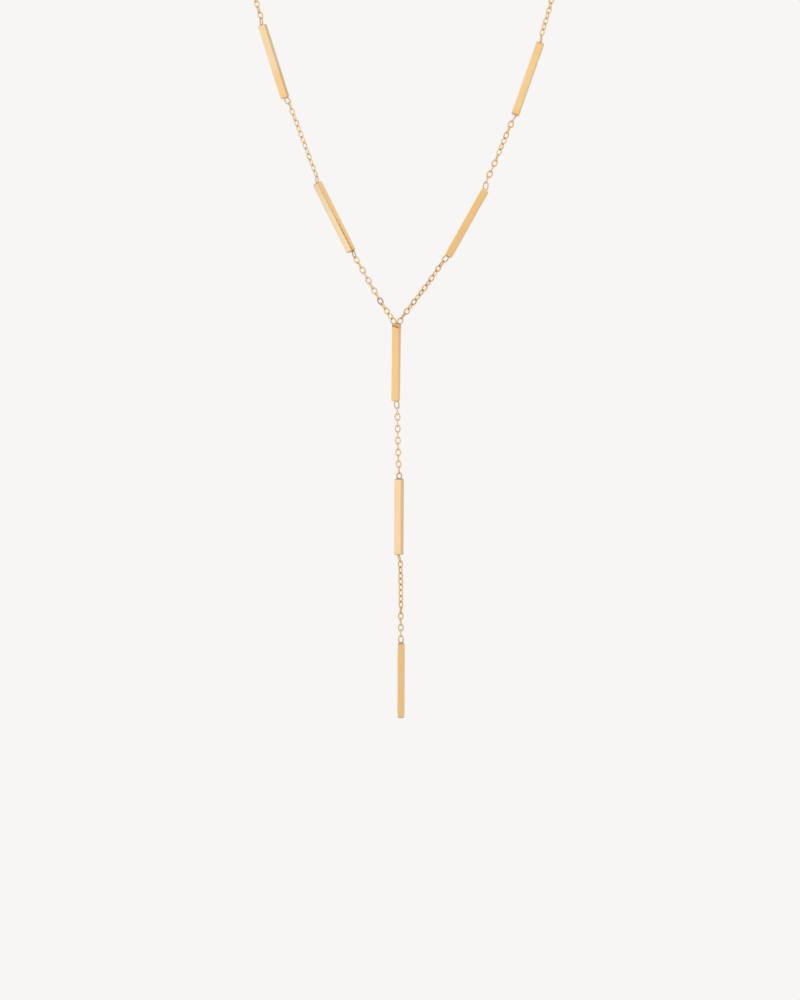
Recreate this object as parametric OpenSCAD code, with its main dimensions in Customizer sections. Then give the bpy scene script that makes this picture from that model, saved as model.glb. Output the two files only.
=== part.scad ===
// Y necklace: a fine cable chain with seven slim square bars.
// The origin is the middle of the clasp at the nape. Z is up and the front of the necklace faces -Y.
// The front of the loop and the drop hang in one plane, the rest goes round the neck to the clasp.

/* [Bars] */
// Length that the bars are cut to, give or take
bar_length = 19.2; // [14:0.05:20]
// Side of the square section
bar_width = 1.82; // [1.6:0.01:2]
// Chamfer along the four long edges
bar_edge = 0.14; // [0.05:0.01:0.3]
// Chamfer round both end faces
bar_end_edge = 0.32; // [0.05:0.01:0.4]

/* [Chain] */
// Outer length of one link
link_length = 2.23; // [2.1:0.01:2.6]
// Outer width of one link
link_width = 1.5; // [1.3:0.05:1.8]
// Wire diameter of the links and of the bars' end eyes
wire = 0.3; // [0.25:0.01:0.32]
// Least free play between two neighbouring links
least_play = 0.1; // [0.1:0.005:0.2]

/* [Loop] */
// From the nape forward to the hanging front
neck_depth = 86; // [80:1:95]
// From the nape down to the fork of the Y
fork_drop = 112; // [105:1:120]
// How far the chain keeps its upward slant above the top bars
slant_reach = 30; // [24:1:36]
// How far the chain runs level on each side of the clasp
level_reach = 44; // [34:1:48]

/* [Clasp] */
// Centre line radius of the round clasp
clasp_radius = 2.2; // [2:0.1:2.8]
// Thickness of the clasp's tube
clasp_tube = 1; // [0.8:0.05:1.2]
// Centre line radius of the jump ring
jump_radius = 1.5; // [1.4:0.05:2]
// Wire of the jump ring
jump_wire = 0.5; // [0.4:0.05:0.6]

/* [Hidden] */
$fn = 24;

// Bars: middle of each, across and above the fork, lean of its top to the right, roll, which
// turns the front face to the left, and how much longer it is cut than bar_length
BAR_X = 0; BAR_H = 1; BAR_LEAN = 2; BAR_ROLL = 3; BAR_EXTRA = 4;
BARS = [
    [-30.72,  65.64, -17.5, 20,  0.10], // left upper
    [-15.57,  26.72, -26.5, 40,  0.10], // left lower
    [ 32.82,  61.29,  19.4,  9,  0.20], // right upper
    [ 17.55,  25.22,  29.3,  4,  0.05], // right lower
    [ -0.12,  -9.59,   0.7, 18,  0.25], // drop, upper
    [  0.62, -48.20,   0.3, 24, -0.05], // drop, middle
    [  1.12, -89.06,   0.2,  0, -0.30], // drop, end
];
LEFT_UPPER = 0; LEFT_LOWER = 1; RIGHT_UPPER = 2; RIGHT_LOWER = 3;
DROP_UPPER = 4; DROP_MIDDLE = 5; DROP_END = 6;

// Soldered eyes: their bar, top (1) or bottom (-1) of it, offset across the bar, slant of the
// eye to the right of straight up or down, reach beyond the bar's end, and roll
EYE_BAR = 0; EYE_END = 1; EYE_ACROSS = 2; EYE_SLANT = 3; EYE_OUT = 4; EYE_ROLL = 5;
EYES = [
    [LEFT_UPPER,   1, -0.17,  -1.6, 2.05,  60],
    [LEFT_UPPER,  -1,  0.15,  32.8, 1.90,   0],
    [LEFT_LOWER,   1,  0.02,  -4.8, 1.94, 120],
    [LEFT_LOWER,  -1,  0.37,  20.0, 2.04,  65],
    [RIGHT_UPPER,  1,  0.03,   4.2, 2.15, 105],
    [RIGHT_UPPER, -1,  0.26, -34.4, 2.12,  90],
    [RIGHT_LOWER,  1, -0.08,   5.1, 2.13,   0],
    [RIGHT_LOWER, -1, -0.17, -39.8, 1.94,   0],
    [DROP_UPPER,   1, -0.44, -29.5, 1.83,   0],
    [DROP_UPPER,   1,  0.62,  24.0, 1.79,   0],
    [DROP_UPPER,  -1,  0.17,   7.7, 2.08,   0],
    [DROP_MIDDLE,  1,  0.02,  -2.9, 1.75,   0],
    [DROP_MIDDLE, -1, -0.08,  16.3, 2.00,  70],
    [DROP_END,     1, -0.05,  -1.8, 1.96,   0],
];
LEFT_UPPER_TOP = 0; LEFT_UPPER_FOOT = 1; LEFT_LOWER_TOP = 2; LEFT_LOWER_FOOT = 3;
RIGHT_UPPER_TOP = 4; RIGHT_UPPER_FOOT = 5; RIGHT_LOWER_TOP = 6; RIGHT_LOWER_FOOT = 7;
FORK_LEFT = 8; FORK_RIGHT = 9; DROP_UPPER_FOOT = 10;
DROP_MIDDLE_TOP = 11; DROP_MIDDLE_FOOT = 12; DROP_END_TOP = 13;

front = [0, -1, 0];
eye_play = 0.13;          // free play at a soldered eye
eye_sunk = 0.14;          // how far an eye is let into the bar's cap
slant = 17;               // slant of the chain above the top bars
steps = 120;              // steps in which the round curve is measured
longest_pitch = link_length - 2 * wire - least_play;

// Clasp sizes along X, from the left chain's last crossing to the right chain's first
clasp_eye_wire = 0.35;
clasp_eye_radius = 0.62;
clasp_sunk = 0.15;        // how far the eye's centre line is sunk into the clasp's tube
clasp_eye_x = -eye_play / 2 - clasp_eye_wire / 2 + clasp_eye_radius;
clasp_x = clasp_eye_x + clasp_eye_radius + clasp_radius + clasp_tube / 2 - clasp_sunk;
jump_x = clasp_x + clasp_radius - clasp_tube / 2 - eye_play - jump_wire / 2 + jump_radius;
clasp_half = (jump_x + jump_radius - jump_wire / 2 - eye_play / 2) / 2;

gold = [0.83, 0.62, 0.30];
pale_gold = [0.88, 0.70, 0.40];

function unit(v) = v / norm(v);
function smooth(t) = t * t * (3 - 2 * t);
function in_front(x, h) = [x, -neck_depth, h - fork_drop];

// A bar's upward direction, its length, and the middle of one of its ends
function bar_up(b) = [sin(b[BAR_LEAN]), 0, cos(b[BAR_LEAN])];
function cut_length(b) = bar_length + b[BAR_EXTRA];
function bar_end(b, end) = in_front(b[BAR_X], b[BAR_H]) + end * cut_length(b) / 2 * bar_up(b);

// An eye: where it leaves the bar, its direction, its middle, and its crossing with the first link
function eye_root(e) =
    let (b = BARS[e[EYE_BAR]], up = bar_up(b))
    bar_end(b, e[EYE_END]) + e[EYE_ACROSS] * [up[2], 0, -up[0]];
function eye_dir(e) = [sin(e[EYE_SLANT]), 0, e[EYE_END] * cos(e[EYE_SLANT])];
function eye_middle(e) = eye_root(e) + (e[EYE_OUT] - eye_sunk) / 2 * eye_dir(e);
function eye_crossing(e) = eye_root(e) + (e[EYE_OUT] - wire - eye_play / 2) * eye_dir(e);

function link_count(len) = ceil(len / longest_pitch);

// Roll of a link of the hidden stretch: a right angle a link, and the twist that brings the last
// one square to what it hangs on, spread over the stretch
function turned(a) = a - 180 * floor(a / 180);
function twist(first, last, n) =
    let (w = turned(last - first - (n + 1) * 90)) w > 90 ? w - 180 : w;
function link_roll(first, last, n, i) =
    first + 90 * i + twist(first, last, n) * smooth(i / (n + 1));

// Curve of the hidden stretch: up from the top bar, round the neck, level to the clasp
function curve_points(e, side) =
    let (start = eye_crossing(e))
    [
        start,
        start + slant_reach * [side * sin(slant), 0, cos(slant)],
        [side * (clasp_half + level_reach), 0, 0],
        [side * clasp_half, 0, 0]
    ];
function curve(p, t) =
    pow(1 - t, 3) * p[0] + 3 * pow(1 - t, 2) * t * p[1] + 3 * (1 - t) * t * t * p[2]
    + pow(t, 3) * p[3];
function curve_dir(p, t) = unit(
    pow(1 - t, 2) * (p[1] - p[0]) + 2 * (1 - t) * t * (p[2] - p[1]) + t * t * (p[3] - p[2]));
function measured(p) = [
    for (i = 0, s = 0; i <= steps;
        s = s + norm(curve(p, (i + 1) / steps) - curve(p, i / steps)), i = i + 1)
        [s, i / steps]
];

// Stands a piece at c with its Y along u, its flat side to f, turned by roll about u
module stand(c, u, f, roll) {
    s0 = unit(cross(u, f));
    f0 = cross(s0, u);
    s = s0 * cos(roll) + f0 * sin(roll);
    n = cross(s, u);
    multmatrix([
        [s[0], u[0], n[0], c[0]],
        [s[1], u[1], n[1], c[1]],
        [s[2], u[2], n[2], c[2]],
        [0, 0, 0, 1]
    ]) children();
}

module ring(radius, thick) {
    rotate_extrude($fn = 40) translate([radius, 0]) circle(d = thick);
}

// One cable link or eye, flat in XY with its length along Y
module link(length = link_length) {
    r = (link_width - wire) / 2;
    h = (length - link_width) / 2;
    for (side = [0, 180]) rotate([0, 0, side]) {
        translate([0, h, 0]) rotate_extrude(angle = 180) translate([r, 0]) circle(d = wire);
        translate([r, -h, 0]) rotate([-90, 0, 0]) cylinder(d = wire, h = 2 * h);
    }
}

// Outline of a bar with cut corners
module outline(w, l, cut_w, cut_l) {
    x = w / 2;
    y = l / 2;
    polygon([
        [x - cut_w, -y], [x, -y + cut_l], [x, y - cut_l], [x - cut_w, y],
        [cut_w - x, y], [-x, y - cut_l], [-x, cut_l - y], [cut_w - x, -y]
    ]);
}

// Square bar with its length along Y
module bar_stock(length) {
    intersection() {
        rotate([90, 0, 0]) linear_extrude(2 * length, center = true)
            outline(bar_width, bar_width, bar_edge, bar_edge);
        linear_extrude(2 * bar_width, center = true)
            outline(bar_width, length, bar_end_edge, bar_end_edge);
        rotate([0, 90, 0]) linear_extrude(2 * bar_width, center = true)
            outline(bar_width, length, bar_end_edge, bar_end_edge);
    }
}

// Bar with the eyes soldered to its ends
module bar(number) {
    b = BARS[number];
    color(gold) union() {
        stand(in_front(b[BAR_X], b[BAR_H]), bar_up(b), front, b[BAR_ROLL])
            bar_stock(cut_length(b));
        for (e = EYES) if (e[EYE_BAR] == number)
            stand(eye_middle(e), eye_dir(e) * e[EYE_END], front, e[EYE_ROLL])
                link(e[EYE_OUT] + eye_sunk);
    }
}

// Links between two eyes of the hanging front, with the first eye below or above the other.
// turns holds [link, roll beyond a right angle a link] for some of its links, in degrees.
module front_chain(first, last, turns) {
    a = EYES[first];
    b = EYES[last];
    start = eye_crossing(a);
    way = eye_crossing(b) - start;
    n = link_count(norm(way));
    u = unit(way);
    color(pale_gold) for (i = [1:n])
        stand(start + way * (i - 0.5) / n, u[2] > 0 ? u : -u, front, 90 * i + lookup(i, turns))
            link();
}

// Links from a top bar round the neck to the clasp
module back_chain(first, side, first_roll, last_roll) {
    e = EYES[first];
    p = curve_points(e, side);
    table = measured(p);
    whole = table[steps][0];
    n = link_count(whole);
    color(pale_gold) for (i = [1:n]) {
        t = lookup(whole * (i - 0.5) / n, table);
        stand(curve(p, t), curve_dir(p, t), [side * sin(180 * t), -cos(180 * t), 0],
            link_roll(first_roll, last_roll, n, i)) link();
    }
}

module left_upper_bar() bar(LEFT_UPPER);
module left_lower_bar() bar(LEFT_LOWER);
module right_upper_bar() bar(RIGHT_UPPER);
module right_lower_bar() bar(RIGHT_LOWER);
module upper_drop_bar() bar(DROP_UPPER);
module middle_drop_bar() bar(DROP_MIDDLE);
module end_drop_bar() bar(DROP_END);

module left_back_chain() back_chain(LEFT_UPPER_TOP, -1, 60, 0);
module right_back_chain() back_chain(RIGHT_UPPER_TOP, 1, -52, 90);
module left_middle_chain()
    front_chain(LEFT_UPPER_FOOT, LEFT_LOWER_TOP, [[1, -14], [4, -38], [13, -38]]);
module right_middle_chain()
    front_chain(RIGHT_UPPER_FOOT, RIGHT_LOWER_TOP,
        [[1, -85], [4, -138], [6, -143], [8, -180], [11, -182]]);
module left_front_chain() front_chain(LEFT_LOWER_FOOT, FORK_LEFT, [[1, 70], [12, 72]]);
module right_front_chain()
    front_chain(RIGHT_LOWER_FOOT, FORK_RIGHT, [[1, -24], [3, -32], [6, -35], [12, -76]]);
module upper_drop_chain() front_chain(DROP_UPPER_FOOT, DROP_MIDDLE_TOP, [[1, 0], [11, 0]]);
module lower_drop_chain()
    front_chain(DROP_MIDDLE_FOOT, DROP_END_TOP,
        [[1, 70], [3, 48], [8, 45], [10, -8], [13, -5]]);

// Round clasp with its small fixed eye, which the left chain's last link passes through
module clasp() {
    color(gold) translate([-clasp_half, 0, 0]) rotate([90, 0, 0]) union() {
        translate([clasp_x, 0, 0]) ring(clasp_radius, clasp_tube);
        translate([clasp_eye_x, 0, 0]) ring(clasp_eye_radius, clasp_eye_wire);
    }
}

// Closed ring at the right chain's end, which the clasp holds
module jump_ring() {
    color(gold) translate([jump_x - clasp_half, 0, 0]) ring(jump_radius, jump_wire);
}

left_upper_bar();
left_lower_bar();
right_upper_bar();
right_lower_bar();
upper_drop_bar();
middle_drop_bar();
end_drop_bar();
left_back_chain();
right_back_chain();
left_middle_chain();
right_middle_chain();
left_front_chain();
right_front_chain();
upper_drop_chain();
lower_drop_chain();
clasp();
jump_ring();
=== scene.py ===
from collections import namedtuple
from math import ceil, cos, pi, radians, sin, sqrt

import bpy
import numpy as np
from mathutils import Matrix


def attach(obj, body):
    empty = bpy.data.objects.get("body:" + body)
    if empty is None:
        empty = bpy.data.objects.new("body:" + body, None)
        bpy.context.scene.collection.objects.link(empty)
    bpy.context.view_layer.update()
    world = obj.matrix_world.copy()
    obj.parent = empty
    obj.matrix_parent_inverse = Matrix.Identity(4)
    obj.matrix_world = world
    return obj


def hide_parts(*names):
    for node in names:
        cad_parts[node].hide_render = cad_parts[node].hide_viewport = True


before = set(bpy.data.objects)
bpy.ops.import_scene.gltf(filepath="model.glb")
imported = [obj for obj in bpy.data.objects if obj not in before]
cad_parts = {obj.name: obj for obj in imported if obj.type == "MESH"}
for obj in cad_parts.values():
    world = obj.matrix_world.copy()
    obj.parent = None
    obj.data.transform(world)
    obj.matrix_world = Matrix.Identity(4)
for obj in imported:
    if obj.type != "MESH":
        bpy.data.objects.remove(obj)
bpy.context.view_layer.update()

# Square brass bars, cut to length, closed with a soldered cap at each end, tumbled and plated with
# gold, a little paler on some than on others. The seam of a cap shows as a faint line, and the front
# edge of the left lower bar is nicked.
MM = 0.001
TOP, FOOT = 1, -1
neck_depth, fork_drop = 86, 112
FACING = np.array([0.0, -1.0, 0.0])
rng = np.random.default_rng(7)

# A seam lies so far from the end, and slopes across the front face to the right of its bend. Its line
# is darkened by so much painted shade in its groove. The cap beyond it is deeper in tone by the next
# number, and a number below nought makes it paler, as a painted highlight.
Seam = namedtuple("Seam", "end place slope bend width rust band")
# The tone changes round a place, counted from the foot up, and over a reach. Both are shares of the
# bar's length.
Change = namedtuple("Change", "place reach")
# The right side is painted in shade, as it faces the dimmer light: it is deeper in tone by so much
# at the top and at the foot, and it is that dull.
Side = namedtuple("Side", "top foot dull")
# Sizes are in millimetres, and pairs are for the top and the foot of a bar. Its tones run from 0 to 2
# through the plate's shades, its ends are domes of that depth, and its rims are dulled by that much.
Bar = namedtuple(
    "Bar",
    "across above lean roll length tones ends rims seams change side width edge taper twist nicks body",
    defaults=(
        (), Change(0.5, 1.0), Side(0.0, 0.0, 0.0), 1.82, 0.14, 0.0, 0, 0.0, "necklace"))
bars = {
    "left_upper_bar": Bar(
        -30.72, 65.64, -17.5, 20, 19.30, (0.12, 0.75), (0.30, 0.40), (0.3, 0.0),
        [Seam(TOP, 1.25, 0.0, 0, 0.07, 0.25, 0.15)], Change(0.36, 0.15), Side(0, 0, 0.25)),
    "left_lower_bar": Bar(
        -15.57, 26.72, -26.5, 40, 19.30, (0.35, 0.35), (0.40, 0.40), (0.3, 0.6),
        side=Side(0.0, 0.35, 0.0), edge=0.25, twist=14, nicks=1.0),
    "right_upper_bar": Bar(
        32.82, 61.29, 19.4, 9, 19.40, (0.82, 0.52), (0.45, 0.25), (0.5, 0.0),
        [Seam(FOOT, 1.5, 0.0, 0, 0.05, 0.0, 0.4), Seam(FOOT, 0.32, 0.0, 0, 0.09, 1.3, -0.6)],
        Change(0.85, 0.4)),
    "right_lower_bar": Bar(
        17.55, 25.22, 29.3, 4, 19.25, (0.78, 0.88), (0.40, 0.45), (0.1, 0.0),
        [Seam(TOP, 0.60, 0.0, 0, 0.07, 0.3, -0.9)]),
    "upper_drop_bar": Bar(
        -0.12, -9.59, 0.7, 16, 19.45, (1.00, 0.65), (0.25, 0.20), (0.2, 0.1),
        [Seam(TOP, 0.82, -0.45, -0.25, 0.17, 1.2, 0.35)], twist=5),
    "middle_drop_bar": Bar(
        0.62, -48.20, 0.3, 24, 19.15, (0.50, 0.50), (0.25, 0.50), (1.0, 0.1),
        [Seam(TOP, 1.30, 0.0, 0, 0.07, 0.2, 0.0)]),
    "end_drop_bar": Bar(
        1.12, -89.06, 0.2, 0, 18.90, (0.65, 0.65), (0.60, 0.30), (0.8, 0.2), width=1.78,
        taper=0.16, body="end_bar"),
}
end_zone, taper_reach = 2, 2.0
plain_spacing, nicked_spacing, end_spacing = 0.5, 0.12, 0.05
dome_fullness, dome_turn, dome_steps = 2.7, 1.5, 14
corner_points, roundest_corner = 6, 0.95
flat_loops = np.array([-0.96, -0.88, -0.75, -0.4, 0.0, 0.4, 0.75, 0.88, 0.96])
polish_waves, wave_height = (7.3, 3.1), 0.0006
least_rim, rim_on_dome = 0.1, 0.6
right_from, right_over, front_from = 0.6, 0.3, 0.7
seam_depth, band_fade = 0.02, 0.1
# A shape's solder mark says how dull each point is, from solder, wear and painted shade.
Shape = namedtuple("Shape", "points faces solder tone finish")


def smooth(t):
    t = np.clip(t, 0, 1)
    return t * t * (3 - 2 * t)


def unit(v):
    return v / np.linalg.norm(v)


def in_front(across, above):
    return np.array([across, -neck_depth, above - fork_drop])


def slanted(angle, end=TOP):
    return np.array([sin(radians(angle)), 0.0, end * cos(radians(angle))])


def stood(up, facing, roll):
    """Columns across, along and out of a piece that runs along up and faces facing, turned by roll."""
    level = unit(np.cross(up, facing))
    ahead = np.cross(level, up)
    across = level * cos(radians(roll)) + ahead * sin(radians(roll))
    return np.column_stack([across, up, np.cross(across, up)])


def moved(shape, columns, centre):
    return shape._replace(points=shape.points @ columns.T + centre)


def quads(rows, columns, closed):
    """Faces over rows of points that close round their columns, and over their rows if closed."""
    faces = []
    for i in range(rows if closed else rows - 1):
        for j in range(columns):
            a, b, k = i * columns, (i + 1) % rows * columns, (j + 1) % columns
            faces.append((a + j, b + j, b + k, a + k))
    return faces


def capped(rows, columns):
    """Faces over rows of points that close round their columns, with one flat face at either end."""
    last = (rows - 1) * columns
    caps = [tuple(range(columns)), tuple(range(last + columns - 1, last - 1, -1))]
    return quads(rows, columns, closed=False) + caps


def square_section(half, corner):
    """Points and outward directions of a square with round corners, with loops that keep it flat."""
    points, outward = [], []
    reach = half - corner
    for quarter in range(4):
        turn = quarter * pi / 2
        middle = reach * sqrt(2) * np.array([cos(turn + pi / 4), sin(turn + pi / 4)])
        for a in np.linspace(turn, turn + pi / 2, corner_points):
            outward.append([cos(a), sin(a)])
            points.append(middle + corner * np.array(outward[-1]))
        face = np.array([cos(turn + pi / 2), sin(turn + pi / 2)])
        for s in flat_loops * reach:
            outward.append(face)
            points.append(half * face + s * np.array([-face[1], face[0]]))
    return np.array(points), np.array(outward)


def bar_stations(bar):
    """Places along a bar and the share of its width there, close together near its domed ends."""
    half = bar.length / 2
    middle = np.arange(0, half - end_zone, nicked_spacing if bar.nicks else plain_spacing)
    stations = []
    for end, dome in zip((TOP, FOOT), bar.ends):
        near_end = np.arange(half - end_zone, half - dome, end_spacing)
        places = [(y, 1.0) for y in [*middle, *near_end]]
        for a in np.linspace(0, dome_turn, dome_steps):
            sunk = dome * (1 - sin(a) ** (2 / dome_fullness))
            places.append((half - sunk, cos(a) ** (2 / dome_fullness)))
        stations.append([(end * y, share) for y, share in places])
    return stations[1][:0:-1] + stations[0]


def plated(bar, along, outward):
    """Tone and dullness of the plate round a bar, at a share along it from the foot up. Its right side
    is painted deeper and duller, as shade.
    """
    tone = np.full(len(outward), bar.tones[1])
    risen = smooth((along - bar.change.place) / bar.change.reach + 0.5)
    tone += (bar.tones[0] - bar.tones[1]) * risen
    # Painted shade: the right side is made deeper in tone and duller.
    right = smooth((outward[:, 0] - right_from) / right_over)
    tone += right * (bar.side.foot + (bar.side.top - bar.side.foot) * smooth(along))
    return tone, right * bar.side.dull


# The nicks follow a line that wanders beside the front edge, and get deeper and wider to the foot.
# The plate is deeper in tone beside the edge too.
crease_waves = ((0.09, 1.9), (0.05, 0.83))
crease_shift, crease_slant = 0.03, 0.12
crease_width, crease_narrowing = 0.2, 0.1
nick_spacing, nick_evenness, nicks_at_top = 1.3, 0.65, 0.3
nick_depth, nick_dull, nick_tone = 0.04, 0.75, 1.2
beside_edge, beside_tone = 0.5, 0.45
faces_away = -0.1


def nicked(bar, y, section, outward):
    """How deep the nicks go at each point round a bar at y, and how close it lies beside the edge."""
    along = y / bar.length + 0.5
    wander = sum(size * sin(2 * pi * y / length) for size, length in crease_waves)
    wander = wander - crease_shift - crease_slant * (1 - along)
    past_edge = section[:, 0] - section[:, 1]
    from_line = (past_edge + wander) / (crease_width - crease_narrowing * along)
    deeper = nicks_at_top + (1 - nicks_at_top) * smooth(1 - along)
    uneven = nick_evenness + (1 - nick_evenness) * sin(2 * pi * y / nick_spacing)
    near_edge = outward.min(axis=1) > faces_away
    nicks = bar.nicks * deeper * uneven * np.exp(-from_line ** 2) * near_edge
    beside = bar.nicks * np.exp(-(past_edge / beside_edge) ** 2) * (past_edge > 0)
    return nicks, beside


def square_bar(bar):
    """One bar along Y, with slight waves of polishing, the seams of its caps and its nicks."""
    waves = [(length, rng.uniform(0, 2 * pi)) for length in polish_waves]
    points, solder, tones = [], [], []
    stations = bar_stations(bar)
    for y, share in stations:
        end = TOP if y > 0 else FOOT
        which = (TOP, FOOT).index(end)
        from_end = bar.length / 2 - end * y
        half = share * (bar.width / 2 - bar.taper / 2 * smooth(1 - from_end / taper_reach))
        corner = min(bar.edge + (1 - share) / 2, roundest_corner * half)
        section, outward = square_section(half, corner)
        wave = sum(wave_height * length * sin(2 * pi * y / length + start) for length, start in waves)
        dent = np.full(len(section), wave)
        tone, dull = plated(bar, y / bar.length + 0.5, outward)
        rim_reach = least_rim + rim_on_dome * bar.ends[which]
        dull = np.maximum(dull, bar.rims[which] * np.exp(-(from_end / rim_reach) ** 2))
        for seam in bar.seams:
            line = bar.length / 2 - seam.place + seam.slope * np.maximum(section[:, 0], seam.bend)
            past = seam.end * y - line
            groove = np.exp(-(past / seam.width) ** 2) * (outward[:, 1] > front_from)
            dent -= seam_depth * groove
            # The groove is darkened as painted shade, and a cap made paler is a painted highlight.
            tone += seam.rust * groove + seam.band * smooth(past / band_fade)
        nicks, beside = nicked(bar, y, section, outward)
        dent -= nick_depth * nicks
        dull = np.maximum(dull, nick_dull * nicks)
        tone += nick_tone * nicks + beside_tone * beside
        turn = radians(bar.twist * y / bar.length)
        twisted = np.array([[cos(turn), sin(turn)], [-sin(turn), cos(turn)]])
        section = (section + outward * dent[:, None] * share) @ twisted
        points.append(np.column_stack([section[:, 0], np.full(len(section), y), section[:, 1]]))
        solder.append(dull)
        tones.append(tone)
    faces = capped(len(stations), len(points[0]))
    return Shape(np.vstack(points), faces, np.hstack(solder), np.hstack(tones), 0)


def make_piece(name, shapes, finishes, columns=np.eye(3), centre=np.zeros(3)):
    """A mesh object of shapes in millimetres, stood at centre, with its tone and its mark of solder,
    wear and painted shade on its points.
    """
    starts = np.cumsum([0] + [len(s.points) for s in shapes])
    faces = [tuple(i + start for i in f) for s, start in zip(shapes, starts) for f in s.faces]
    mesh = bpy.data.meshes.new(name)
    mesh.from_pydata(
        (np.vstack([s.points for s in shapes]) * MM).tolist(), [], faces, shade_flat=False)
    for mark in ("solder", "tone"):
        values = np.hstack([getattr(s, mark) for s in shapes]).astype(np.float32)
        mesh.attributes.new(mark, "FLOAT", "POINT").data.foreach_set("value", values)
    for finish in finishes:
        mesh.materials.append(finish)
    finish = np.hstack([np.full(len(s.faces), s.finish, dtype=np.int32) for s in shapes])
    mesh.polygons.foreach_set("material_index", finish)
    mesh.update()
    piece = bpy.data.objects.new(name, mesh)
    bpy.context.scene.collection.objects.link(piece)
    place = np.eye(4)
    place[:3, :3] = columns
    place[:3, 3] = centre * MM
    piece.matrix_world = Matrix(place.tolist())
    return piece


def linear(colour):
    """An sRGB hex colour as linear red, green, blue and alpha."""
    parts = [int(colour[i:i + 2], 16) / 255 for i in (0, 2, 4)]
    return [p / 12.92 if p <= 0.04045 else ((p + 0.055) / 1.055) ** 2.4 for p in parts] + [1.0]


def add(tree, kind, inputs=(), **settings):
    """Adds a node with its settings, and links or sets its inputs."""
    node = tree.nodes.new(kind)
    for name, value in settings.items():
        setattr(node, name, value)
    for socket, value in dict(inputs).items():
        if isinstance(value, bpy.types.NodeSocket):
            tree.links.new(value, node.inputs[socket])
        else:
            node.inputs[socket].default_value = value
    return node


def set_stops(ramp, places, colours):
    """Gives a colour ramp, which has two stops of its own, a stop of a colour at each place."""
    for place in places[2:]:
        ramp.elements.new(place)
    for stop, place, colour in zip(ramp.elements, places, colours):
        stop.position = place
        stop.color = colour


cloud_size, cloud_depth = 5, 0.6
gloss_play, solder_blunts, mark_depth = 0.03, 0.2, 0.0012


def gold_plate(name, shades, dull, roughness, grain):
    """Gold plate over brass that goes through its shades with its tone, and turns to its dull colour
    where soldered or worn and where shade is painted.
    The grain is the spacing and the length of the polishing marks, in millimetres."""
    material = bpy.data.materials.new(name)
    material.use_nodes = True
    tree = material.node_tree
    tree.nodes.clear()
    place = add(tree, "ShaderNodeTexCoord").outputs["Object"]
    cloud = add(
        tree, "ShaderNodeTexNoise",
        {"Vector": place, "Scale": 1 / (cloud_size * MM), "Detail": 2.0})
    tone = add(tree, "ShaderNodeAttribute", attribute_name="tone")
    shift = add(tree, "ShaderNodeMath", {0: cloud.outputs["Fac"], 1: 0.5}, operation="SUBTRACT")
    depth = add(
        tree, "ShaderNodeMath", {0: shift.outputs[0], 1: cloud_depth, 2: tone.outputs["Fac"]},
        operation="MULTIPLY_ADD")
    share = add(
        tree, "ShaderNodeMath", {0: depth.outputs[0], 1: len(shades) - 1}, operation="DIVIDE")
    plate = add(tree, "ShaderNodeValToRGB", {0: share.outputs[0]})
    places = [number / (len(shades) - 1) for number in range(len(shades))]
    set_stops(plate.color_ramp, places, [linear(shade) for shade in shades])
    solder = add(tree, "ShaderNodeAttribute", attribute_name="solder")
    # The dull colour stands for solder and wear, and also for painted shade where the mark says so.
    colour = add(
        tree, "ShaderNodeMix", {0: solder.outputs["Fac"], 6: plate.outputs[0], 7: linear(dull)},
        data_type="RGBA")
    across, along = (1 / (size * MM) for size in grain)
    marks = add(
        tree, "ShaderNodeMapping", {"Vector": place, "Scale": (across, along, across)},
        vector_type="POINT")
    streaks = add(
        tree, "ShaderNodeTexNoise",
        {"Vector": marks.outputs[0], "Scale": 1.0, "Detail": 3.0, "Roughness": 0.6})
    sharp, blunt = roughness - gloss_play, roughness + gloss_play
    gloss = add(
        tree, "ShaderNodeMapRange", {0: streaks.outputs["Fac"], 1: 0.3, 2: 0.7, 3: sharp, 4: blunt})
    worn = add(
        tree, "ShaderNodeMath", {0: solder.outputs["Fac"], 1: solder_blunts, 2: gloss.outputs[0]},
        operation="MULTIPLY_ADD")
    bump = add(
        tree, "ShaderNodeBump",
        {"Height": streaks.outputs["Fac"], "Strength": 0.2, "Distance": mark_depth * MM})
    metal = add(
        tree, "ShaderNodeBsdfPrincipled",
        {"Base Color": colour.outputs[2], "Metallic": 1.0, "Roughness": worn.outputs[0],
         "Normal": bump.outputs[0]})
    add(tree, "ShaderNodeOutputMaterial", {"Surface": metal.outputs[0]})
    return material


# Polished plate mirrors softly: broad soft light on each flat, a thin line along each rounded edge.
# The real polishing marks are a hundredth of a millimetre wide and are drawn ten times coarser.
polished_plate = gold_plate(
    "gold_plate_polished", ("F8DCA9", "F7CB87", "B87433"), dull="A9824A", roughness=0.24,
    grain=(0.12, 4.0))

# Eyes of round gold plated wire, closed and soldered to the middle of a bar's cap with a small fillet.
# They hold the chain, and the upper drop bar has two of them side by side, which make the fork.
Eye = namedtuple("Eye", "bar end across slant out roll stain", defaults=(0.2,))
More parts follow.
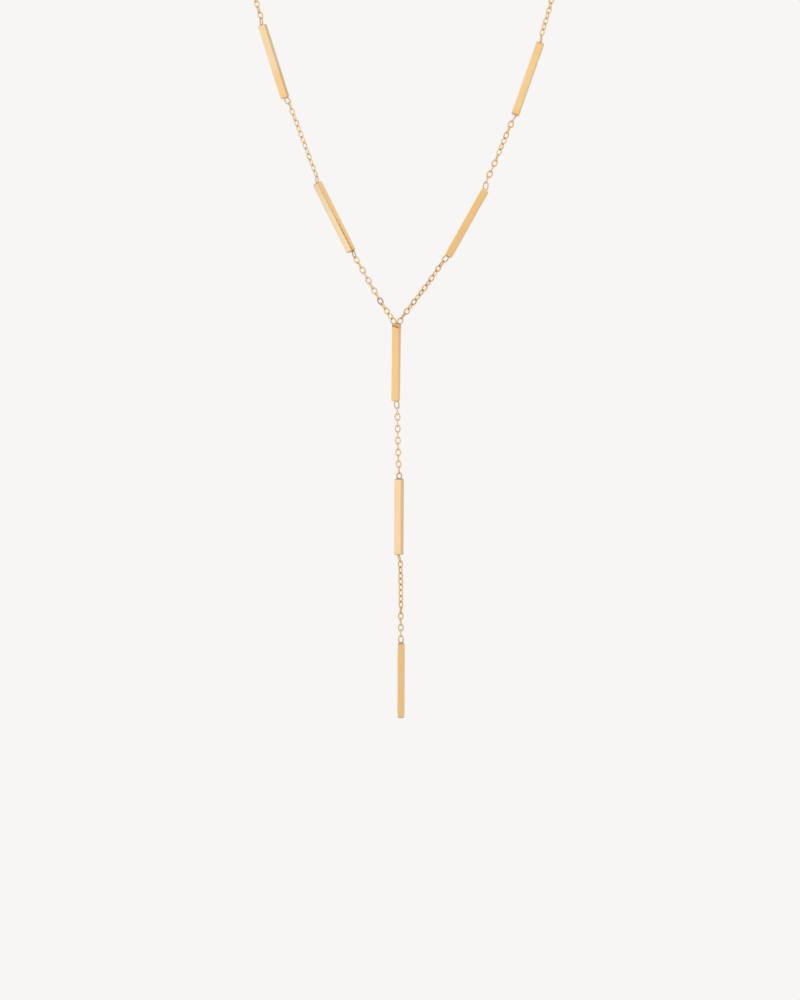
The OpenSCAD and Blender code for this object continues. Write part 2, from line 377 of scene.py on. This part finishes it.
# An eye sits a little across the end of its bar, slants to the right and reaches out. Painted shade
# darkens it by so much, most at its foot where it meets the bar, and its fillet with it.
eyes = {
    "left_upper_top": Eye("left_upper_bar", TOP, -0.17, -1.6, 2.05, 60, 0.6),
    "left_upper_foot": Eye("left_upper_bar", FOOT, 0.15, 32.8, 1.90, 0, 0.3),
    "left_lower_top": Eye("left_lower_bar", TOP, 0.02, -4.8, 1.94, 120, 0.1),
    "left_lower_foot": Eye("left_lower_bar", FOOT, 0.37, 20.0, 2.04, 58, 0.9),
    "right_upper_top": Eye("right_upper_bar", TOP, 0.03, 4.2, 2.15, 105, 0.1),
    "right_upper_foot": Eye("right_upper_bar", FOOT, 0.26, -34.4, 2.12, 90, 0.4),
    "right_lower_top": Eye("right_lower_bar", TOP, -0.08, 5.1, 2.13, 0, 0.1),
    "right_lower_foot": Eye("right_lower_bar", FOOT, -0.17, -39.8, 1.94, 0, 0.5),
    "fork_left": Eye("upper_drop_bar", TOP, -0.44, -29.5, 1.83, 0),
    "fork_right": Eye("upper_drop_bar", TOP, 0.62, 24.0, 1.79, 0),
    "upper_drop_foot": Eye("upper_drop_bar", FOOT, 0.17, 7.7, 2.08, 0),
    "middle_drop_top": Eye("middle_drop_bar", TOP, 0.02, -2.9, 1.75, 0, 0.8),
    "middle_drop_foot": Eye("middle_drop_bar", FOOT, -0.08, 16.3, 2.00, 70),
    "end_drop_top": Eye("end_drop_bar", TOP, -0.05, -1.8, 1.96, 0, 0.4),
}
link_length, link_width, wire, drawn_wire = 2.23, 1.5, 0.30, 0.33
eye_play, eye_sunk, eye_tone, eye_fillet = 0.13, 0.33, 1.5, (0.45, 0.15, 0.28)
# Painted shade darkens each eye a little all over and most towards its root on the bar.
root_shade_reach, least_root_shade = 1.1, 0.1
joint_width, joint_swell, joint_dull = 0.11, 0.10, 0.5
# Painted shade darkens the ends of links and eyes, where the next links cross them.
crossing_shade, crossing_shade_width = 0.32, 0.22
pole_turn, solder_tone = 0.12, 0.6
# The saddle of solder between the fork's eyes is darkened as painted shade.
saddle_fillet, saddle_rise, saddle_shade = (0.85, 0.22, 0.5), -0.08, 0.9
peak_fillet, peak_rise, peak_stain = (0.16, 0.35, 0.16), 0.5, 0.0


def eye_root(eye):
    bar = bars[eye.bar]
    up = slanted(bar.lean)
    end = in_front(bar.across, bar.above) + eye.end * bar.length / 2 * up
    return end + eye.across * np.array([up[2], 0.0, -up[0]])


def eye_crossing(eye):
    return eye_root(eye) + (eye.out - wire - eye_play / 2) * slanted(eye.slant, eye.end)


def wire_loop(length, width, thick, joint_at=None, tone=0.5, crossing_shade_depth=0.0, steps=40, sides=16):
    """A closed oval of round wire in XY, its length along Y, with a low solder joint on one side
    and both its ends darkened by painted shade where the next links cross them."""
    a = np.linspace(0, 2 * pi, steps, endpoint=False)
    reach_x, reach_y = (width - thick) / 2, (length - thick) / 2
    path = np.column_stack([reach_x * np.cos(a), reach_y * np.sin(a)])
    outward = np.column_stack([reach_y * np.cos(a), reach_x * np.sin(a)])
    outward /= np.linalg.norm(outward, axis=1)[:, None]
    joint = np.zeros(steps)
    if joint_at is not None:
        away = np.hypot(path[:, 0] - reach_x, path[:, 1] - joint_at)
        joint = np.exp(-(away / joint_width) ** 2)
    around = np.linspace(0, 2 * pi, sides, endpoint=False)
    thickness = thick / 2 * (1 + joint_swell * joint)[:, None]
    flat = thickness * np.cos(around)
    x = path[:, 0, None] + flat * outward[:, 0, None]
    y = path[:, 1, None] + flat * outward[:, 1, None]
    points = np.stack([x, y, thickness * np.sin(around)], axis=2).reshape(-1, 3)
    # Painted shade at both ends of the loop, where the next links cross.
    crossing_shade_mask = crossing_shade_depth * np.exp(-((reach_y - np.abs(path[:, 1])) / crossing_shade_width) ** 2)
    solder = np.repeat(np.maximum(joint_dull * joint, crossing_shade_mask), sides)
    return Shape(
        points, quads(steps, sides, closed=True), solder, np.full(len(points), tone), 0)


def fillet(half_across, half_up, half_out, stain, rows=9, columns=18):
    """A rounded lump of solder, darkened by so much painted shade."""
    polar = np.linspace(pole_turn, pi - pole_turn, rows)
    around = np.linspace(0, 2 * pi, columns, endpoint=False)
    x = half_across * np.sin(polar)[:, None] * np.cos(around)
    z = half_out * np.sin(polar)[:, None] * np.sin(around)
    y = np.repeat(-half_up * np.cos(polar)[:, None], columns, axis=1)
    points = np.stack([x, y, z], axis=2).reshape(-1, 3)
    solder, tone = np.full(len(points), stain), np.full(len(points), solder_tone)
    return Shape(points, capped(rows, columns), solder, tone, 0)


def soldered_eye(eye):
    """An eye and the fillet at its foot, in the frame of the whole necklace."""
    along, root = slanted(eye.slant, eye.end), eye_root(eye)
    reach = eye.out - wire - eye_play / 2 + drawn_wire
    middle = root + (reach - eye_sunk) / 2 * along
    loop = wire_loop(reach + eye_sunk, link_width, drawn_wire, tone=eye_tone, crossing_shade_depth=crossing_shade)
    loop = moved(loop, stood(along * eye.end, FACING, eye.roll), middle)
    # Painted shade on the eye, darkest at its root on the bar and a little all over it.
    root_shade = eye.stain * np.exp(-(np.linalg.norm(loop.points - root, axis=1) / root_shade_reach) ** 2)
    root_shade = least_root_shade + (1 - least_root_shade) * root_shade
    seat = stood(slanted(bars[eye.bar].lean), FACING, eye.roll)
    loop = loop._replace(solder=np.maximum(loop.solder, root_shade))
    return [loop, moved(fillet(*eye_fillet, eye.stain), seat, root)]


# The bright wire is rounder and busier than the bars and mirrors its neighbours, so it looks deeper.
bright_wire = gold_plate(
    "gold_plate_bright_wire", ("FEE6B4", "FED897", "F7BC6F"), dull="A48868", roughness=0.2,
    grain=(0.1, 0.6))
for name, bar in bars.items():
    columns = stood(slanted(bar.lean), FACING, bar.roll)
    centre = in_front(bar.across, bar.above)
    loops = [part for eye in eyes.values() if eye.bar == name for part in soldered_eye(eye)]
    if name == "upper_drop_bar":
        between = (eye_root(eyes["fork_left"]) + eye_root(eyes["fork_right"])) / 2
        # The saddle between the fork's eyes is darkened as painted shade, where they meet.
        saddle = fillet(*saddle_fillet, saddle_shade)
        peak = fillet(*peak_fillet, peak_stain)
        loops += [
            moved(saddle, columns, between + saddle_rise * columns[:, 1]),
            moved(peak, columns, between + peak_rise * columns[:, 1])]
    loops = [moved(part, columns.T, -centre @ columns)._replace(finish=1) for part in loops]
    parts = [square_bar(bar), *loops]
    piece = make_piece("gold_" + name, parts, [polished_plate, bright_wire], columns, centre)
    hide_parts(name)
    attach(piece, bar.body)

# Cable chain of the hanging front: oval links of round wire, each turned square to the next, closed
# and soldered on one side, then plated. The links are drawn a hair shorter, so that they touch, and
# each stretch hangs a little beside the straight line between its eyes.
Chain = namedtuple("Chain", "first last tone dull bow turns stained", defaults=(0,))
# A bow is widest at a share of the way. The turns say how far some of the links are turned beyond a
# right angle a link, in degrees. Dull is the most that a link is dulled, and one link is stained.
Bow = namedtuple("Bow", "beside widest")
front_chains = {
    "left_middle_chain": Chain(
        "left_upper_foot", "left_lower_top", 0.6, 0.05, Bow(0.0, 0.5), {1: -14, 4: -38, 13: -38}),
    "right_middle_chain": Chain(
        "right_upper_foot", "right_lower_top", 1.4, 0.1, Bow(-0.08, 0.77),
        {1: -85, 4: -138, 6: -143, 8: -180, 11: -182}),
    "left_front_chain": Chain(
        "left_lower_foot", "fork_left", 0.95, 0.1, Bow(0.25, 0.75),
        {1: 70, 2: 86, 8: 76, 11: 72, 12: 45}, stained=9),
    "right_front_chain": Chain(
        "right_lower_foot", "fork_right", 1.5, 0.45, Bow(-0.18, 0.42),
        {1: -24, 3: -32, 6: -35, 12: -76}),
    "upper_drop_chain": Chain(
        "upper_drop_foot", "middle_drop_top", 1.0, 0.05, Bow(0.08, 0.72), {1: 0, 11: 0}),
    "lower_drop_chain": Chain(
        "middle_drop_foot", "end_drop_top", 1.3, 0.2, Bow(-0.08, 0.4),
        {1: 70, 3: 48, 8: 45, 10: -8, 13: -5}),
}
least_play = 0.1
longest_pitch = link_length - 2 * wire - least_play
roll_play, width_play, tone_play = 4.0, 0.015, 0.4
joint_beside, link_stain = 0.12, 0.75


def link(pitch, columns, middle, tone, dull, stain=0.0):
    """One link that reaches just round its neighbours' wire, a little deeper or paler than they are.
    Its solder joint is on one side, a little off the middle."""
    width = link_width * (1 + width_play * rng.normal())
    joint_at = rng.choice([-joint_beside, joint_beside])
    tone = tone + rng.uniform(-tone_play, tone_play)
    loop = wire_loop(pitch + 2 * drawn_wire, width, drawn_wire, joint_at, tone, crossing_shade)
    loop = loop._replace(solder=np.maximum(loop.solder, max(dull * rng.uniform(), stain)))
    return moved(loop, columns, middle)


def make_chain(name, links):
    piece = make_piece("gold_" + name, links, [bright_wire])
    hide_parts(name)
    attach(piece, "necklace")


for name, chain in front_chains.items():
    start = eye_crossing(eyes[chain.first])
    way = eye_crossing(eyes[chain.last]) - start
    count = ceil(np.linalg.norm(way) / longest_pitch)
    beside = unit(np.cross(way, FACING)) * chain.bow.beside
    share = np.arange(count + 1)[:, None] / count
    bowed = smooth(np.minimum(share / chain.bow.widest, (1 - share) / (1 - chain.bow.widest)))
    crossings = start + share * way + bowed * beside
    links = []
    for number in range(1, count + 1):
        turn = np.interp(number, list(chain.turns), list(chain.turns.values()))
        roll = 90 * number + turn + roll_play * rng.normal()
        step = crossings[number] - crossings[number - 1]
        middle = (crossings[number] + crossings[number - 1]) / 2
        stain = link_stain if number == chain.stained else 0.0
        columns = stood(unit(step) * np.sign(way[2]), FACING, roll)
        links.append(link(np.linalg.norm(step), columns, middle, chain.tone, chain.dull, stain))
    make_chain(name, links)

# The same chain on its plain way round the neck: up from the top bars, back over the shoulders and
# level across the nape to the clasp.
clasp_radius, clasp_tube = 2.2, 1.0
clasp_eye_radius, clasp_eye_wire = 0.62, 0.35
clasp_sunk = 0.15
jump_radius, jump_wire = 1.5, 0.5
clasp_eye_x = clasp_eye_radius - eye_play / 2 - clasp_eye_wire / 2
clasp_x = clasp_eye_x + clasp_eye_radius + clasp_radius + clasp_tube / 2 - clasp_sunk
jump_x = clasp_x + clasp_radius - clasp_tube / 2 - eye_play - jump_wire / 2 + jump_radius
clasp_half = (jump_x + jump_radius - jump_wire / 2 - eye_play / 2) / 2
slant, slant_reach, level_reach, steps = 17, 30, 44, 120
back_tone, back_dull = 1.1, 0.1


def curve(guides, t):
    """Points at shares t along a smooth curve that four guide points draw."""
    weights = np.array([(1 - t) ** 3, 3 * (1 - t) ** 2 * t, 3 * (1 - t) * t ** 2, t ** 3])
    return weights.T @ guides


def curve_way(guides, t):
    weights = np.array([(1 - t) ** 2, 2 * (1 - t) * t, t ** 2])
    return unit(weights @ np.diff(guides, axis=0))


def link_roll(first, last, count, number):
    """Roll of a link: a right angle from one to the next, with the rest of the twist spread evenly."""
    twist = (last - first - (count + 1) * 90) % 180
    twist -= 180 if twist > 90 else 0
    return first + 90 * number + twist * smooth(number / (count + 1))


for name, eye, side, first_roll, last_roll in (
    ("left_back_chain", eyes["left_upper_top"], -1, 60, 0),
    ("right_back_chain", eyes["right_upper_top"], 1, -46, 90),
):
    start = eye_crossing(eye)
    guides = np.array([
        start, start + slant_reach * slanted(side * slant),
        [side * (clasp_half + level_reach), 0, 0], [side * clasp_half, 0, 0]])
    t = np.linspace(0, 1, steps + 1)
    reached = np.linalg.norm(np.diff(curve(guides, t), axis=0), axis=1)
    reached = np.hstack([0, np.cumsum(reached)])
    count = ceil(reached[-1] / longest_pitch)
    pitch = reached[-1] / count
    links = []
    for number in range(1, count + 1):
        s = np.interp(pitch * (number - 0.5), reached, t)
        facing = np.array([side * sin(pi * s), -cos(pi * s), 0.0])
        roll = link_roll(first_roll, last_roll, count, number) + roll_play * rng.normal()
        columns = stood(curve_way(guides, s), facing, roll)
        links.append(link(pitch, columns, curve(guides, s), back_tone, back_dull))
    make_chain(name, links)

# Closed jump ring of thick round wire at the right end of the chain, which the clasp holds. It has
# the clasp's finish: gold plate over a casting polished by hand, as soft a mirror as the bars are.
cast_plate = gold_plate(
    "gold_plate_over_casting", ("F5D6A4", "EDBC78"), dull="A8834A", roughness=0.24,
    grain=(0.12, 2.0))
jump_joint_at = 0.4
outside = 2 * jump_radius + jump_wire
ring = wire_loop(outside, outside, jump_wire, jump_joint_at, steps=72, sides=20)
jump_ring = make_piece(
    "gold_jump_ring", [ring], [cast_plate], centre=np.array([jump_x - clasp_half, 0.0, 0.0]))
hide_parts("jump_ring")
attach(jump_ring, "necklace")

# Plain round clasp of thick plated tube, with a small fixed eye that the left chain's last link holds.
# The eye is soldered into the tube with a fillet on each face.
outside = 2 * clasp_radius + clasp_tube
tube = wire_loop(outside, outside, clasp_tube, steps=96, sides=28)
outside = 2 * clasp_eye_radius + clasp_eye_wire
small = wire_loop(outside, outside, clasp_eye_wire, steps=48, sides=16)
clasp_fillet, clasp_fillet_shade = (0.34, 0.5, 0.34), 0.45
# The fillet is darkened as painted shade where it sits in the joint.
lump = fillet(*clasp_fillet, clasp_fillet_shade)
eye_middle = np.array([clasp_eye_x - clasp_x, 0.0, 0.0])
lump_middle = np.array([clasp_sunk - clasp_radius - clasp_tube / 2, 0.0, 0.0])
parts = [tube, moved(small, np.eye(3), eye_middle), moved(lump, np.eye(3), lump_middle)]
stand_up = np.column_stack([[1.0, 0, 0], [0, 0, 1.0], [0, -1.0, 0]])
clasp = make_piece(
    "gold_clasp", parts, [cast_plate], stand_up, np.array([clasp_x - clasp_half, 0.0, 0.0]))
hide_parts("clasp")
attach(clasp, "necklace")

# Camera: a long lens straight in front and level, far enough off to draw the drop nearly flat. The
# fork is a little above the middle of the picture, and the top bars reach its upper edge.
scene = bpy.context.scene
view_height, distance = 250.0, 1200.0
picture_middle = np.array([0.85, -neck_depth, -155.98])
camera = bpy.data.cameras.new("camera")
camera.lens = camera.sensor_width * distance / view_height
camera.clip_start, camera.clip_end = 0.05, 50
scene.camera = bpy.data.objects.new("camera", camera)
scene.camera.location = (picture_middle - [0, distance, 0]) * MM
scene.camera.rotation_euler = (pi / 2, 0, 0)
scene.collection.objects.link(scene.camera)
scene.view_settings.view_transform = "Standard"

# Plain pale floor well below the drop, evenly lit to the tone of the pale backdrop, so that no line
# shows where they meet. Neither shows in the gold, which mirrors the studio's cards.
backdrop = linear("F7F6F4")
floor_mesh = bpy.data.meshes.new("floor")
floor_half, floor_level = 6.0, -0.32
signs = ((-1, -1), (1, -1), (1, 1), (-1, 1))
corners = [(x * floor_half, y * floor_half, floor_level) for x, y in signs]
floor_mesh.from_pydata(corners, [], [(0, 1, 2, 3)])
floor = bpy.data.objects.new("floor", floor_mesh)
scene.collection.objects.link(floor)
paint = bpy.data.materials.new("floor_pale_paint")
paint.use_nodes = True
paint.node_tree.nodes.clear()
even = add(paint.node_tree, "ShaderNodeEmission", {"Color": backdrop})
add(paint.node_tree, "ShaderNodeOutputMaterial", {"Surface": even.outputs[0]})
floor_mesh.materials.append(paint)
floor.visible_glossy = floor.visible_diffuse = floor.visible_shadow = False

# Soft studio light: a ring of pale cards round the necklace, cool and bright on the left, warmer and
# dimmer behind the camera, greyer at the back. Angles go from straight in front towards the left.
Card = namedtuple("Card", "angle light")
cards = [
    Card(-180, (0.65, 0.63, 0.69)), Card(-162, (0.74, 0.74, 0.81)), Card(-144, (0.76, 0.74, 0.75)),
    Card(-130, (0.75, 0.73, 0.86)), Card(-100, (0.84, 0.81, 0.84)), Card(-74, (0.86, 0.84, 0.89)),
    Card(-50, (0.74, 0.72, 0.73)), Card(-25, (0.79, 0.76, 0.76)), Card(6, (0.86, 0.82, 0.81)),
    Card(18, (0.97, 0.94, 0.93)), Card(36, (0.99, 0.97, 0.97)), Card(46, (1.00, 1.05, 1.20)),
    Card(68, (1.03, 1.11, 1.38)), Card(79, (1.01, 1.08, 1.36)), Card(96, (0.91, 0.97, 1.20)),
    Card(114, (0.62, 0.63, 0.68)), Card(138, (0.33, 0.32, 0.33)), Card(162, (0.42, 0.40, 0.42)),
    Card(180, (0.65, 0.63, 0.69)),
]
# The light is also a little stronger from above than from below. Heights go from 0 for straight below
# to 1 for straight above.
Level = namedtuple("Level", "height strength")
levels = [
    Level(0.0, 0.95), Level(0.2, 0.97), Level(0.35, 1.0), Level(0.5, 1.0), Level(0.68, 1.1),
    Level(0.85, 1.15), Level(1.0, 1.1),
]
world = bpy.data.worlds.new("studio")
scene.world = world
world.use_nodes = True
world.cycles.sampling_method = "NONE"
tree = world.node_tree
tree.nodes.clear()
toward = add(
    tree, "ShaderNodeSeparateXYZ", {0: add(tree, "ShaderNodeTexCoord").outputs["Generated"]})
left = add(tree, "ShaderNodeMath", {0: toward.outputs[0], 1: -1.0}, operation="MULTIPLY")
ahead = add(tree, "ShaderNodeMath", {0: toward.outputs[1], 1: -1.0}, operation="MULTIPLY")
angle = add(tree, "ShaderNodeMath", {0: left.outputs[0], 1: ahead.outputs[0]}, operation="ARCTAN2")
turn = add(tree, "ShaderNodeMapRange", {0: angle.outputs[0], 1: -pi, 2: pi, 3: 0.0, 4: 1.0})
ring_light = add(tree, "ShaderNodeValToRGB", {0: turn.outputs[0]})
angles = [(card.angle + 180) / 360 for card in cards]
set_stops(ring_light.color_ramp, angles, [(*card.light, 1.0) for card in cards])
height = add(tree, "ShaderNodeMapRange", {0: toward.outputs[2], 1: -1.0, 2: 1.0, 3: 0.0, 4: 1.0})
strength = add(tree, "ShaderNodeValToRGB", {0: height.outputs[0]})
greys = [[level.strength] * 3 + [1.0] for level in levels]
set_stops(strength.color_ramp, [level.height for level in levels], greys)
light = add(
    tree, "ShaderNodeBackground",
    {"Color": ring_light.outputs[0], "Strength": strength.outputs[0]})
pale = add(tree, "ShaderNodeBackground", {"Color": backdrop})
seen = add(tree, "ShaderNodeLightPath")
chosen = add(
    tree, "ShaderNodeMixShader",
    {0: seen.outputs["Is Camera Ray"], 1: light.outputs[0], 2: pale.outputs[0]})
add(tree, "ShaderNodeOutputWorld", {"Surface": chosen.outputs[0]})
